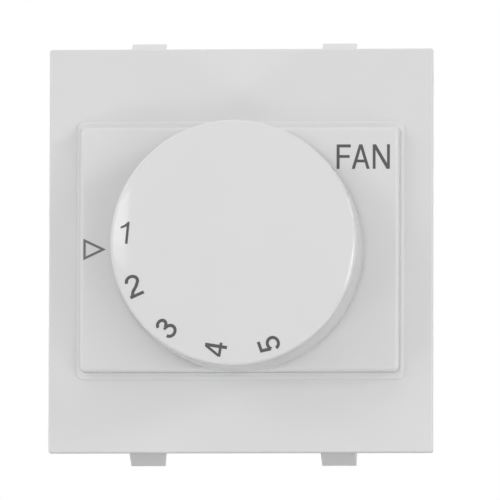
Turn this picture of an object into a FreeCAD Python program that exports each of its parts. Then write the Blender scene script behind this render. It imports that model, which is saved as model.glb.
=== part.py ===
"""Fan speed control switch: a two-module wall switch with a five-speed rotary dial.

Lengths are in millimetres. X is to the right and Z is up as the dial is looked at, and Y
goes into the wall. The origin is on the dial's axis, in the plane of the front faces of the
four fixing lugs. Clock angles are in degrees, clockwise from the top as seen from the front.
The dial is drawn at its first speed.
"""

import FreeCAD, Part
import math
import os

Vector = FreeCAD.Vector

# Front plate: a face of two modules' width, with a skirt moulded behind it
PLATE_WIDTH = 45.0
PLATE_HEIGHT = 47.3
PLATE_WALL = 1.2
PLATE_CORNER_RADIUS = 0.3
PLATE_EDGE_RADIUS = 0.25
SKIRT_STEP = 0.7
SKIRT_WALL = 1.6
SKIRT_DEPTH = 8.0
SKIRT_CORNER_RADIUS = 1.2

# Raised lip round the opening in the front plate
LIP_SIDE_WIDTH = 0.45
LIP_END_WIDTH = 0.8
LIP_PROUD = 0.5
LIP_CORNER_RADIUS = 0.8
LIP_EDGE_RADIUS = 0.25

# Fixing lugs on the skirt, which snap in behind the rail of a wall frame
LUG_WIDTH = 4.0
LUG_SPACING = 22.4
LUG_PROUD = 1.16
LUG_SETBACK = 3.3
LUG_DEPTH = 4.6
LUG_TIP = 2.9
LUG_BEVEL = 1.2
LUG_BEVEL_DEPTH = 2.7

# Catches inside the skirt, which snap into windows in the housing
CATCH_WIDTH = 5.0
CATCH_SPACING = 20.0
CATCH_PROUD = 1.1
CATCH_START = 4.5
CATCH_DEPTH = 1.6
CATCH_CLEARANCE = 0.15

# Dial panel: the raised rectangle that the knob turns on, with a flange behind the plate
PANEL_SIDE_MARGIN = 3.85
PANEL_END_MARGIN = 9.35
PANEL_PROUD = 2.3
PANEL_WALL = 1.8
PANEL_GAP = 0.02
PANEL_CORNER_RADIUS = 0.6
PANEL_EDGE_RADIUS = 0.5
FLANGE_WALL = 1.4
PANEL_BORE_GAP = 0.5
POST_RADIUS = 2.2

# Knob: a hollow cap with a domed front, ribs and a hub
KNOB_DIAMETER = 28.6
KNOB_DRAFT = 0.15
KNOB_RIM_HEIGHT = 12.0
KNOB_DOME = 0.9
KNOB_RIM_RADIUS = 0.4
KNOB_GAP = 0.5
KNOB_WALL = 1.6
KNOB_TOP_WALL = 2.0
HUB_RADIUS = 5.0
HUB_SETBACK = 0.4
RIB_WALL = 1.0
RIB_DEPTH = 4.0
RIB_COUNT = 6

# Spindle, with a flat for the knob and another for the rotor
SPINDLE_RADIUS = 3.0
SPINDLE_FLAT = 2.1
SPINDLE_END_GAP = 0.4
JOURNAL_RADIUS = 2.0
JOURNAL_PROUD = 0.5
GROOVE_RADIUS = 2.3
CLIP_RADIUS = 4.6
CLIP_WALL = 0.6
CLIP_MOUTH = 3.4
CLIP_LOBE_RADIUS = 0.9
CLIP_LOBE_ANGLE = 60.0

# Clearances: seats that stay put, a shaft that turns, a screw in its hole, a moulding in another
SEAT_CLEARANCE = 0.03
RUNNING_CLEARANCE = 0.05
SCREW_CLEARANCE = 0.1
HOUSING_CLEARANCE = 0.1
AXIAL_CLEARANCE = 0.1
SWEEP_CLEARANCE = 0.3

# Dial travel: an off place before the first speed, and a click for each of five speeds
SPEED_COUNT = 5
CLICK_ANGLE = 28.7
STOP_MARGIN = 0.8

# Rotor: clicks are scalloped in its rim, and a tab runs between two stops
ROTOR_RADIUS = 10.2
ROTOR_WALL = 3.6
ROTOR_GAP = 0.4
SCALLOP_RADIUS = 1.6
SCALLOP_OFFSET = 0.6
TAB_PROUD = 1.5
TAB_HALF_ANGLE = 8.0
PEG_RADIUS = 0.6
PEG_CIRCLE = 4.3
PEG_PROUD = 0.4

# Wiper: a springy bridge from the common contact to one speed contact
WIPER_WALL = 0.4
WIPER_RING_RADIUS = 5.4
WIPER_ARM_WIDTH = 2.4
WIPER_SLOPE_LENGTH = 2.4
WIPER_TOE = 1.0
DIMPLE_RADIUS = 0.8
DIMPLE_PROUD = 0.45
WIPER_GAP = 0.2

# Detent spring: a leaf with a formed nose, in a pocket below the rotor
SPRING_WALL = 0.35
SPRING_WIDTH = 2.6
SPRING_SPAN = 13.2
SPRING_SHOULDER = 2.4
SPRING_FOOT = 0.9
SPRING_ROOM = 3.15
SPRING_SEAT_GAP = 0.05
NOSE_GAP = 0.3
POCKET_END_GAP = 0.5

# Switch body and the insulating plate that closes it
SWITCH_DEPTH = 9.0
SWITCH_FRONT_WALL = 2.0
SWITCH_WALL = 1.15
SWITCH_CORNER_RADIUS = 1.0
COVER_WALL = 1.6
EAR_WALL = 1.4
SWITCH_SCREW_ANGLE = 56.0
SWITCH_SCREW_RADIUS = 1.0
SWITCH_SCREW_TIP_GAP = 0.1
SWITCH_SCREW_HEAD_RADIUS = 1.9
SWITCH_SCREW_HEAD = 1.3

# Contacts, riveted through the insulating plate and soldered to the circuit board
CONTACT_INSET = 1.7
CONTACT_HEAD_RADIUS = 1.5
CONTACT_HEAD = 0.3
CONTACT_SHANK_RADIUS = 0.8
CONTACT_COLLAR_RADIUS = 1.3
CONTACT_COLLAR = 0.5
CONTACT_PIN_RADIUS = 0.5
COMMON_WIDTH = 2.4
COMMON_OVERRUN = 9.0

# Circuit board
BOARD_WALL = 1.6
BOARD_STANDOFF = 2.8
BOARD_EDGE_GAP = 0.3
PIN_PROUD = 0.8
PIN_CLEARANCE = 0.1

# Film capacitors, one above the other on the back of the board, in the room above the terminals
CAPACITOR_COUNT = 2
CAPACITOR_DEPTH = 11.5
CAPACITOR_STANDOFF = 1.2
CAPACITOR_GAP = 0.8
CAPACITOR_TOP_GAP = 1.2
CAPACITOR_SIDE_GAP = 0.85
CAPACITOR_TERMINAL_GAP = 6.15
CAPACITOR_EDGE_RADIUS = 0.6
CAPACITOR_LEAD_INSET = 1.75
CAPACITOR_LEAD_RADIUS = 0.4

# Resistors, upright at both sides of the capacitors
RESISTOR_RADIUS = 1.7
RESISTOR_LENGTH = 7.5
RESISTOR_CAP_LENGTH = 1.6
RESISTOR_CAP_PROUD = 0.15
RESISTOR_LEAD_RADIUS = 0.35
RESISTOR_LEAD_REACH = 1.55
RESISTOR_BEND = 0.9
RESISTOR_STANDOFF = 0.8
RESISTOR_SIDE_GAP = 0.9
RESISTOR_ROW_GAP = 1.6
RESISTOR_TOP_GAP = 4.6
RESISTOR_ROWS = 2

# Tunnel terminals, whose wires come in from below and whose screws are turned from behind
TERMINAL_SIDE_GAP = 6.1
TERMINAL_WIDTH = 7.0
TERMINAL_HEIGHT = 9.0
TERMINAL_DEPTH = 9.0
TERMINAL_STANDOFF = 1.0
TERMINAL_FLOOR_GAP = 0.35
TERMINAL_EDGE_RADIUS = 0.4
TERMINAL_LEG_RADIUS = 0.6
TERMINAL_LEG_PITCH = 4.8
WIRE_BORE_RADIUS = 1.75
WIRE_BORE_DEPTH = 3.6
WIRE_ENTRY_MARGIN = 1.25
WIRE_ENTRY_CHAMFER = 0.6
TERMINAL_SCREW_RADIUS = 1.5
TERMINAL_SCREW_TIP_GAP = 0.3
TERMINAL_SCREW_BACK_OFF = 1.0
TERMINAL_SCREW_HEAD_RADIUS = 2.7
TERMINAL_SCREW_HEAD = 2.2
SLOT_WIDTH = 0.8
SLOT_DEPTH_SHARE = 0.5

# Housing: the rear half of the case
HOUSING_WALL = 1.5
HOUSING_REAR_WALL = 1.6
HOUSING_CORNER_RADIUS = 1.2
HOUSING_REAR_RADIUS = 0.8
HOUSING_REAR_GAP = 2.4
PILLAR_SIZE = 3.0
BARRIER_WALL = 1.5
BARRIER_HEIGHT = 11.0
BARRIER_BOARD_GAP = 1.0
ACCESS_CLEARANCE = 0.4
COLLAR_WIDTH = 1.2
COLLAR_PROUD = 0.6
GRIP_COUNT = 5
GRIP_PITCH = 2.4
GRIP_WIDTH = 1.0
GRIP_PROUD = 0.4
GRIP_HEIGHT = 26.0
GRIP_START = 5.0

# Two points nearer than this are taken as one place
SAME_PLACE = 0.001

# Places along the dial's axis, from front to back
plate_front = -LUG_SETBACK
plate_back = plate_front + PLATE_WALL
lip_front = plate_front - LIP_PROUD
skirt_back = plate_back + SKIRT_DEPTH
panel_front = plate_front - PANEL_PROUD
panel_inside = panel_front + PANEL_WALL
flange_back = plate_back + FLANGE_WALL
knob_base = panel_front - KNOB_GAP
knob_rim = plate_front - KNOB_RIM_HEIGHT
knob_top = knob_rim - KNOB_DOME
knob_inside = knob_rim + KNOB_TOP_WALL
spindle_tip = knob_inside + SPINDLE_END_GAP
clip_back = flange_back - AXIAL_CLEARANCE
clip_front = clip_back - CLIP_WALL
rotor_front = flange_back + SWITCH_FRONT_WALL + ROTOR_GAP
rotor_back = rotor_front + ROTOR_WALL
wiper_back = rotor_back + WIPER_WALL
cover_front = flange_back + SWITCH_DEPTH
contact_face = cover_front - CONTACT_HEAD
cover_back = cover_front + COVER_WALL
board_front = cover_back + BOARD_STANDOFF
board_back = board_front + BOARD_WALL
lead_tip = board_front - PIN_PROUD
pin_tip = board_back + PIN_PROUD
capacitor_front = board_back + CAPACITOR_STANDOFF
capacitor_back = capacitor_front + CAPACITOR_DEPTH
housing_inside = capacitor_back + HOUSING_REAR_GAP
housing_back = housing_inside + HOUSING_REAR_WALL
terminal_front = board_back + TERMINAL_STANDOFF
terminal_back = terminal_front + TERMINAL_DEPTH
wire_line = terminal_front + WIRE_BORE_DEPTH
resistor_line = board_back + RESISTOR_STANDOFF + RESISTOR_RADIUS

# Widths and heights that follow from the pieces inside one another
panel_width = PLATE_WIDTH - 2 * PANEL_SIDE_MARGIN
panel_height = PLATE_HEIGHT - 2 * PANEL_END_MARGIN
opening_width = panel_width + 2 * PANEL_GAP
opening_height = panel_height + 2 * PANEL_GAP
skirt_width = PLATE_WIDTH - 2 * SKIRT_STEP
skirt_height = PLATE_HEIGHT - 2 * SKIRT_STEP
housing_width = skirt_width - 2 * SKIRT_WALL - 2 * HOUSING_CLEARANCE
housing_height = skirt_height - 2 * SKIRT_WALL - 2 * HOUSING_CLEARANCE
inside_width = housing_width - 2 * HOUSING_WALL
inside_height = housing_height - 2 * HOUSING_WALL
board_width = inside_width - 2 * BOARD_EDGE_GAP
board_height = inside_height - 2 * BOARD_EDGE_GAP
sweep_radius = ROTOR_RADIUS + SWEEP_CLEARANCE
tab_radius = ROTOR_RADIUS + TAB_PROUD
cavity_radius = tab_radius + SWEEP_CLEARANCE
scallop_circle = ROTOR_RADIUS + SCALLOP_OFFSET
nose_radius = SCALLOP_RADIUS - NOSE_GAP
pocket_floor = ROTOR_RADIUS + SPRING_ROOM
screw_hole_radius = SWITCH_SCREW_RADIUS + SCREW_CLEARANCE
screw_circle = cavity_radius + EAR_WALL + screw_hole_radius
screw_x = screw_circle * math.sin(math.radians(SWITCH_SCREW_ANGLE))
screw_z = screw_circle * math.cos(math.radians(SWITCH_SCREW_ANGLE))
switch_width = 2 * (screw_x + screw_hole_radius + EAR_WALL)
switch_height = 2 * (pocket_floor + SWITCH_WALL)
bore_radius = SPINDLE_RADIUS + RUNNING_CLEARANCE
contact_circle = ROTOR_RADIUS - CONTACT_INSET
knob_base_radius = KNOB_DIAMETER / 2 + KNOB_DRAFT

# Places and sizes behind the board
terminal_x = (inside_width - TERMINAL_WIDTH) / 2 - TERMINAL_SIDE_GAP
terminal_line = TERMINAL_FLOOR_GAP + TERMINAL_HEIGHT / 2 - inside_height / 2
terminal_top = terminal_line + TERMINAL_HEIGHT / 2
wire_entry_radius = WIRE_BORE_RADIUS + WIRE_ENTRY_MARGIN
access_radius = TERMINAL_SCREW_HEAD_RADIUS + ACCESS_CLEARANCE
resistor_x = board_width / 2 - RESISTOR_SIDE_GAP - RESISTOR_RADIUS
resistor_lead_pitch = RESISTOR_LENGTH + 2 * RESISTOR_LEAD_REACH
capacitor_width = 2 * (resistor_x - RESISTOR_RADIUS - RESISTOR_CAP_PROUD - CAPACITOR_SIDE_GAP)
capacitor_lead_pitch = capacitor_width - 2 * CAPACITOR_LEAD_INSET
capacitor_top = inside_height / 2 - CAPACITOR_TOP_GAP
capacitor_pitch = (capacitor_top - terminal_top - CAPACITOR_TERMINAL_GAP + CAPACITOR_GAP) / CAPACITOR_COUNT
capacitor_height = capacitor_pitch - CAPACITOR_GAP

# Clock angles. The dial's travel is centred on the top for the stop tab and for the contacts
first_place = -CLICK_ANGLE
last_place = CLICK_ANGLE * (SPEED_COUNT - 1)
tab_angle = -(first_place + last_place) / 2
stop_angle = (last_place - first_place) / 2 + TAB_HALF_ANGLE + STOP_MARGIN
wiper_angle = -last_place / 2


def block(width, height, front, back, x=0.0, z=0.0):
    """A box centred on x and z, from its front to its back."""
    return Part.makeBox(width, back - front, height, Vector(x - width / 2, front, z - height / 2))


def rod(radius, front, back, x=0.0, z=0.0):
    """A cylinder that lies along Y."""
    return Part.makeCylinder(radius, back - front, Vector(x, front, z), Vector(0, 1, 0))


def tube(outer, inner, front, back, x=0.0, z=0.0):
    """A rod with a bore."""
    return rod(outer, front, back, x, z).cut(rod(inner, front, back, x, z))


def prism(points, direction):
    """A closed outline, drawn through its points and drawn out along a direction."""
    outline = Part.makePolygon([*points, points[0]])
    return Part.Face(outline).extrude(direction)


def clock_place(radius, angle):
    """The x and z of a point at a clock angle."""
    turn = math.radians(angle)
    return radius * math.sin(turn), radius * math.cos(turn)


def turned(shape, angle):
    """A copy of the shape, turned clockwise about the dial's axis."""
    copy = shape.copy()
    copy.rotate(Vector(0, 0, 0), Vector(0, 1, 0), angle)
    return copy


def pie(radius, start, stop, front, back):
    """A slice of a disc between two clock angles."""
    start_x, start_z = clock_place(radius, start)
    middle_x, middle_z = clock_place(radius, (start + stop) / 2)
    stop_x, stop_z = clock_place(radius, stop)
    centre = Vector(0, front, 0)
    first = Vector(start_x, front, start_z)
    middle = Vector(middle_x, front, middle_z)
    last = Vector(stop_x, front, stop_z)
    rim = Part.Arc(first, middle, last).toShape()
    sides = [Part.makeLine(last, centre), Part.makeLine(centre, first)]
    return Part.Face(Part.Wire([rim, *sides])).extrude(Vector(0, back - front, 0))


def flatted_rod(radius, flat, front, back):
    """A rod with a flat on its upper side, at a height above its axis."""
    above = block(2 * radius, radius, front, back, z=flat + radius / 2)
    return rod(radius, front, back).cut(above)


def runs_along_y(edge):
    """Whether a straight edge lies along Y."""
    box = edge.BoundBox
    return box.XLength < SAME_PLACE and box.ZLength < SAME_PLACE


def lies_at_y(edge, level):
    """Whether both ends of an edge are at one place along Y."""
    return all(abs(end.Y - level) < SAME_PLACE for end in edge.Vertexes)


def rounded(shape, radius, wanted):
    """The shape with a fillet on each edge that the test wants."""
    return shape.makeFillet(radius, [edge for edge in shape.Edges if wanted(edge)])


def slab(width, height, front, back, corner_radius, x=0.0, z=0.0):
    """A block with its four corners rounded, as seen from the front."""
    return rounded(block(width, height, front, back, x, z), corner_radius, runs_along_y)


def screw_places():
    """The x and z of the four switch screws."""
    return [(side * screw_x, end * screw_z) for side in (-1, 1) for end in (-1, 1)]


def speed_angles():
    """The clock angles of the speed contacts."""
    return [wiper_angle + CLICK_ANGLE * step for step in range(SPEED_COUNT)]


def contact_places():
    """The x and z of each speed contact, with the common contact's stem last."""
    common_angle = wiper_angle + 180 + (first_place + last_place) / 2
    return [clock_place(contact_circle, angle) for angle in [*speed_angles(), common_angle]]


def capacitor_lines():
    """The heights of the capacitors' middles, from the top down."""
    top = capacitor_top - capacitor_height / 2
    return [top - capacitor_pitch * row for row in range(CAPACITOR_COUNT)]


def resistor_places():
    """The x and z of the four resistors' middles."""
    top = inside_height / 2 - RESISTOR_TOP_GAP - resistor_lead_pitch / 2
    heights = [top - (resistor_lead_pitch + RESISTOR_ROW_GAP) * row for row in range(RESISTOR_ROWS)]
    return [(side * resistor_x, z) for side in (-1, 1) for z in heights]


def terminal_places():
    """The x of the line and load terminals."""
    return [-terminal_x, terminal_x]


def lug(x, end):
    """A wedge on the skirt: a low flat face to the front, a long bevel to the tip, and a ramp to the back."""
    root = end * (skirt_height - SKIRT_WALL) / 2
    foot = end * skirt_height / 2
    tip = end * (PLATE_HEIGHT / 2 + LUG_PROUD)
    outline = [
        (0, root),
        (0, tip - end * LUG_BEVEL),
        (LUG_BEVEL_DEPTH, tip),
        (LUG_TIP, tip),
        (LUG_DEPTH, foot),
        (LUG_DEPTH, root),
    ]
    points = [Vector(x - LUG_WIDTH / 2, y, z) for y, z in outline]
    return prism(points, Vector(LUG_WIDTH, 0, 0))


def catch(side, z):
    """A wedge inside the skirt, whose front face holds the edge of a housing window."""
    front = plate_back + CATCH_START
    wall = side * (skirt_width / 2 - SKIRT_WALL)
    root = wall + side * SKIRT_WALL / 2
    tip = wall - side * CATCH_PROUD
    outline = [
        (root, front),
        (tip, front),
        (tip, front + CATCH_DEPTH / 2),
        (wall, front + CATCH_DEPTH),
        (root, front + CATCH_DEPTH),
    ]
    points = [Vector(x, y, z - CATCH_WIDTH / 2) for x, y in outline]
    return prism(points, Vector(0, 0, CATCH_WIDTH))


def catch_places():
    """The side and height of each catch."""
    return [(side, end * CATCH_SPACING / 2) for side in (-1, 1) for end in (-1, 1)]


def front_plate():
    """The visible face with its lip, skirt, fixing lugs and catches, in one moulding."""
    face = slab(PLATE_WIDTH, PLATE_HEIGHT, plate_front, plate_back, PLATE_CORNER_RADIUS)
    face = rounded(face, PLATE_EDGE_RADIUS, lambda edge: lies_at_y(edge, plate_front))
    lip_width = opening_width + 2 * LIP_SIDE_WIDTH
    lip_height = opening_height + 2 * LIP_END_WIDTH
    lip = slab(lip_width, lip_height, lip_front, plate_front, LIP_CORNER_RADIUS)
    lip = rounded(lip, LIP_EDGE_RADIUS, lambda edge: lies_at_y(edge, lip_front))
    opening = slab(opening_width, opening_height, lip_front, plate_back, PANEL_CORNER_RADIUS)
    skirt = slab(skirt_width, skirt_height, plate_back, skirt_back, SKIRT_CORNER_RADIUS)
    inner_width = skirt_width - 2 * SKIRT_WALL
    inner_height = skirt_height - 2 * SKIRT_WALL
    skirt = skirt.cut(block(inner_width, inner_height, plate_back, skirt_back))
    lugs = [lug(side * LUG_SPACING / 2, end) for side in (-1, 1) for end in (-1, 1)]
    catches = [catch(side, z) for side, z in catch_places()]
    return face.fuse([lip, skirt, *lugs, *catches]).cut(opening).removeSplitter()


def dial_panel():
    """The raised rectangle, hollow behind, with its flange and four screw posts."""
    raised = slab(panel_width, panel_height, panel_front, flange_back, PANEL_CORNER_RADIUS)
    raised = rounded(raised, PANEL_EDGE_RADIUS, lambda edge: lies_at_y(edge, panel_front))
    flange = slab(housing_width, housing_height, plate_back, flange_back, SKIRT_CORNER_RADIUS)
    hollow_width = panel_width - 2 * PANEL_WALL
    hollow_height = panel_height - 2 * PANEL_WALL
    hollow = block(hollow_width, hollow_height, panel_inside, flange_back)
    posts = [rod(POST_RADIUS, panel_inside, flange_back, x, z) for x, z in screw_places()]
    panel = raised.fuse(flange).cut(hollow).fuse(posts)
    pilot_radius = SWITCH_SCREW_RADIUS + SEAT_CLEARANCE
    pilots = [rod(pilot_radius, panel_inside, flange_back, x, z) for x, z in screw_places()]
    spindle_hole = rod(SPINDLE_RADIUS + PANEL_BORE_GAP, panel_front, panel_inside)
    return panel.cut([*pilots, spindle_hole]).removeSplitter()


def knob_blank():
    """The knob's outside, turned from its half section: dome, drafted side and flat base."""
    rim_radius = KNOB_DIAMETER / 2
    dome_radius = (rim_radius**2 + KNOB_DOME**2) / (2 * KNOB_DOME)
    half_x = rim_radius / 2
    half_y = knob_top + dome_radius - math.sqrt(dome_radius**2 - half_x**2)
    apex = Vector(0, knob_top, 0)
    rim = Vector(rim_radius, knob_rim, 0)
    base = Vector(knob_base_radius, knob_base, 0)
    centre = Vector(0, knob_base, 0)
    section = Part.Wire([
        Part.Arc(apex, Vector(half_x, half_y, 0), rim).toShape(),
        Part.makeLine(rim, base),
        Part.makeLine(base, centre),
        Part.makeLine(centre, apex),
    ])
    return Part.Face(section).revolve(centre, Vector(0, 1, 0), 360)


def knob():
    """A drafted cap with a domed front, a hub with a flatted bore, and ribs."""
    draft = KNOB_DRAFT / (knob_base - knob_rim)
    forward = Vector(0, -1, 0)
    base_centre = Vector(0, knob_base, 0)
    cap = rounded(knob_blank(), KNOB_RIM_RADIUS, lambda edge: lies_at_y(edge, knob_rim))
    hollow_depth = knob_base - knob_inside
    inner_base = knob_base_radius - KNOB_WALL
    inner_top = inner_base - draft * hollow_depth
    hollow = Part.makeCone(inner_base, inner_top, hollow_depth, base_centre, forward)
    hub = rod(HUB_RADIUS, knob_inside, knob_base - HUB_SETBACK)
    rib_reach = inner_top + KNOB_WALL / 2
    rib = block(RIB_WALL, rib_reach, knob_inside, knob_inside + RIB_DEPTH, z=rib_reach / 2)
    ribs = [turned(rib, 360 / RIB_COUNT * step) for step in range(RIB_COUNT)]
    bore_flat = SPINDLE_FLAT + SEAT_CLEARANCE
    bore = flatted_rod(SPINDLE_RADIUS + SEAT_CLEARANCE, bore_flat, knob_inside, knob_base)
    return cap.cut(hollow).fuse([hub, *ribs]).cut(bore).removeSplitter()


def spindle():
    """The shaft from the knob to the back of the switch, with a groove for its clip."""
    knob_seat = flatted_rod(SPINDLE_RADIUS, SPINDLE_FLAT, spindle_tip, knob_base)
    body = rod(SPINDLE_RADIUS, knob_base, rotor_front)
    rotor_seat = flatted_rod(SPINDLE_RADIUS, SPINDLE_FLAT, rotor_front, rotor_back)
    journal = rod(JOURNAL_RADIUS, rotor_back, cover_back + JOURNAL_PROUD)
    groove_gap = AXIAL_CLEARANCE / 2
    groove = tube(SPINDLE_RADIUS, GROOVE_RADIUS, clip_front - groove_gap, clip_back + groove_gap)
    return knob_seat.fuse([body, rotor_seat, journal]).cut(groove).removeSplitter()


def retaining_clip():
    """A sprung washer that snaps into the spindle's groove from one side."""
    inner_radius = GROOVE_RADIUS + SEAT_CLEARANCE
    ring = tube(CLIP_RADIUS, inner_radius, clip_front, clip_back)
    mouth = block(CLIP_MOUTH, CLIP_RADIUS, clip_front, clip_back, z=-CLIP_RADIUS / 2)
    lobe = rod(CLIP_LOBE_RADIUS, clip_front, clip_back, z=inner_radius)
    lobes = [turned(lobe, angle) for angle in (-CLIP_LOBE_ANGLE, CLIP_LOBE_ANGLE)]
    return ring.cut([mouth, *lobes]).removeSplitter()


def rotor():
    """The disc on the spindle, scalloped for the clicks, with its stop tab and two pegs."""
    disc = rod(ROTOR_RADIUS, rotor_front, rotor_back)
    tab_start = tab_angle - TAB_HALF_ANGLE
    tab_stop = tab_angle + TAB_HALF_ANGLE
    tab = pie(tab_radius, tab_start, tab_stop, rotor_front, rotor_back)
    scallop = rod(SCALLOP_RADIUS, rotor_front, rotor_back, z=-scallop_circle)
    scallops = [turned(scallop, -CLICK_ANGLE * step) for step in range(-1, SPEED_COUNT)]
    bore_flat = SPINDLE_FLAT + SEAT_CLEARANCE
    bore = flatted_rod(SPINDLE_RADIUS + SEAT_CLEARANCE, bore_flat, rotor_front, rotor_back)
    peg = rod(PEG_RADIUS, rotor_back, wiper_back + PEG_PROUD, x=PEG_CIRCLE)
    pegs = [turned(peg, wiper_angle + half) for half in (0, 180)]
    return disc.fuse(tab).cut([*scallops, bore]).fuse(pegs).removeSplitter()


def wiper_arm():
    """A sprung arm that points up, with a dimple at the contacts' circle."""
    toe_front = contact_face - WIPER_GAP - DIMPLE_PROUD - WIPER_WALL
    heel = WIPER_RING_RADIUS - WIPER_WALL
    knee = heel + WIPER_SLOPE_LENGTH
    toe = contact_circle + WIPER_TOE
    outline = [
        (heel, rotor_back),
        (knee, toe_front),
        (toe, toe_front),
        (toe, toe_front + WIPER_WALL),
        (knee, toe_front + WIPER_WALL),
        (heel, wiper_back),
    ]
    points = [Vector(-WIPER_ARM_WIDTH / 2, y, z) for z, y in outline]
    arm = prism(points, Vector(WIPER_ARM_WIDTH, 0, 0))
    dimple_middle = toe_front + WIPER_WALL + DIMPLE_PROUD - DIMPLE_RADIUS
    dimple = Part.makeSphere(DIMPLE_RADIUS, Vector(0, dimple_middle, contact_circle))
    dimple = dimple.cut(rod(2 * DIMPLE_RADIUS, rotor_front, toe_front, z=contact_circle))
    return arm.fuse(dimple)


def wiper_contact():
    """A ring held by the rotor's pegs, with two arms that point opposite ways."""
    ring = rod(WIPER_RING_RADIUS, rotor_back, wiper_back)
    arms = [turned(wiper_arm(), wiper_angle + half) for half in (0, 180)]
    shaft_hole = rod(SPINDLE_RADIUS + SEAT_CLEARANCE, rotor_back, wiper_back)
    peg_hole = rod(PEG_RADIUS + SEAT_CLEARANCE, rotor_back, wiper_back, x=PEG_CIRCLE)
    peg_holes = [turned(peg_hole, wiper_angle + half) for half in (0, 180)]
    return ring.fuse(arms).cut([shaft_hole, *peg_holes]).removeSplitter()


def spring_front():
    """The place of the leaf's front edge, which centres it on the rotor's rim."""
    return (rotor_front + rotor_back - SPRING_WIDTH) / 2


def spring_half(side):
    """The shoulder, slope and foot on one side of the leaf's nose."""
    top = -scallop_circle
    floor = -pocket_floor + SPRING_SEAT_GAP
    inner = nose_radius - SPRING_WALL
    foot_start = SPRING_SPAN / 2 - SPRING_FOOT
    outline = [
        (inner, top),
        (SPRING_SHOULDER, top),
        (foot_start, floor + SPRING_WALL),
        (SPRING_SPAN / 2, floor + SPRING_WALL),
        (SPRING_SPAN / 2, floor),
        (foot_start, floor),
        (SPRING_SHOULDER, top - SPRING_WALL),
        (inner, top - SPRING_WALL),
    ]
    points = [Vector(side * x, spring_front(), z) for x, z in outline]
    return prism(points, Vector(0, SPRING_WIDTH, 0))


def detent_spring():
    """A leaf spring whose rounded nose rests in a scallop of the rotor."""
    front = spring_front()
    back = front + SPRING_WIDTH
    nose = tube(nose_radius, nose_radius - SPRING_WALL, front, back, z=-scallop_circle)
    below = block(2 * nose_radius, nose_radius, front, back, z=-scallop_circle - nose_radius / 2)
    halves = [spring_half(side) for side in (-1, 1)]
    return nose.cut(below).fuse(halves).removeSplitter()


def switch_body():
    """A moulded cup with the spindle's bearing, the stops and the spring's pocket."""
    cup = slab(switch_width, switch_height, flange_back, cover_front, SWITCH_CORNER_RADIUS)
    cavity_front = flange_back + SWITCH_FRONT_WALL
    sweep = rod(sweep_radius, cavity_front, cover_front)
    travel = pie(cavity_radius, -stop_angle, stop_angle, cavity_front, cover_front)
    pocket_width = SPRING_SPAN + 2 * POCKET_END_GAP
    pocket_top = -math.sqrt(sweep_radius**2 - (pocket_width / 2) ** 2)
    pocket_height = pocket_floor + pocket_top
    pocket_line = (pocket_top - pocket_floor) / 2
    pocket = block(pocket_width, pocket_height, cavity_front, cover_front, z=pocket_line)
    bearing = rod(bore_radius, flange_back, cavity_front)
    holes = [rod(screw_hole_radius, flange_back, cover_front, x, z) for x, z in screw_places()]
    return cup.cut([sweep, travel, pocket, bearing, *holes]).removeSplitter()


def switch_cover():
    """The flat insulating plate that carries the contacts and the spindle's rear bearing."""
    plate = slab(switch_width, switch_height, cover_front, cover_back, SWITCH_CORNER_RADIUS)
    bearing = rod(JOURNAL_RADIUS + RUNNING_CLEARANCE, cover_front, cover_back)
    holes = [rod(screw_hole_radius, cover_front, cover_back, x, z) for x, z in screw_places()]
    stem_radius = CONTACT_SHANK_RADIUS + SEAT_CLEARANCE
    stems = [rod(stem_radius, cover_front, cover_back, x, z) for x, z in contact_places()]
    return plate.cut([bearing, *holes, *stems])


def contact_stem(x, z):
    """The shank, rivet collar and solder pin behind a contact."""
    shank = rod(CONTACT_SHANK_RADIUS, cover_front, cover_back, x, z)
    collar = rod(CONTACT_COLLAR_RADIUS, cover_back, cover_back + CONTACT_COLLAR, x, z)
    pin = rod(CONTACT_PIN_RADIUS, cover_back + CONTACT_COLLAR, pin_tip, x, z)
    return shank.fuse([collar, pin])


def speed_contact(step):
    """A riveted stud for one speed."""
    x, z = contact_places()[step]
    head = rod(CONTACT_HEAD_RADIUS, contact_face, cover_front, x, z)
    return head.fuse(contact_stem(x, z)).removeSplitter()


def common_contact():
    """A curved strip under the wiper's other arm, with one stem."""
    start = wiper_angle + 180 + first_place - COMMON_OVERRUN
    stop = wiper_angle + 180 + last_place + COMMON_OVERRUN
    outer = pie(contact_circle + COMMON_WIDTH / 2, start, stop, contact_face, cover_front)
    inner = rod(contact_circle - COMMON_WIDTH / 2, contact_face, cover_front)
    x, z = contact_places()[-1]
    return outer.cut(inner).fuse(contact_stem(x, z)).removeSplitter()


def cross_recess(x, z, radius, front, back):
    """Two crossed slots in the head of a screw."""
    across = block(radius, SLOT_WIDTH, front, back, x, z)
    down = block(SLOT_WIDTH, radius, front, back, x, z)
    return across.fuse(down)


def switch_screw(x, z):
    """A pan-head screw through the cover and the body into a post of the dial panel."""
    tip = panel_inside + SWITCH_SCREW_TIP_GAP
    head_back = cover_back + SWITCH_SCREW_HEAD
    shank = rod(SWITCH_SCREW_RADIUS, tip, cover_back, x, z)
    head = rod(SWITCH_SCREW_HEAD_RADIUS, cover_back, head_back, x, z)
    slot_front = head_back - SWITCH_SCREW_HEAD * SLOT_DEPTH_SHARE
    recess = cross_recess(x, z, 2 * SWITCH_SCREW_RADIUS, slot_front, head_back)
    return shank.fuse(head).cut(recess)


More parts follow.
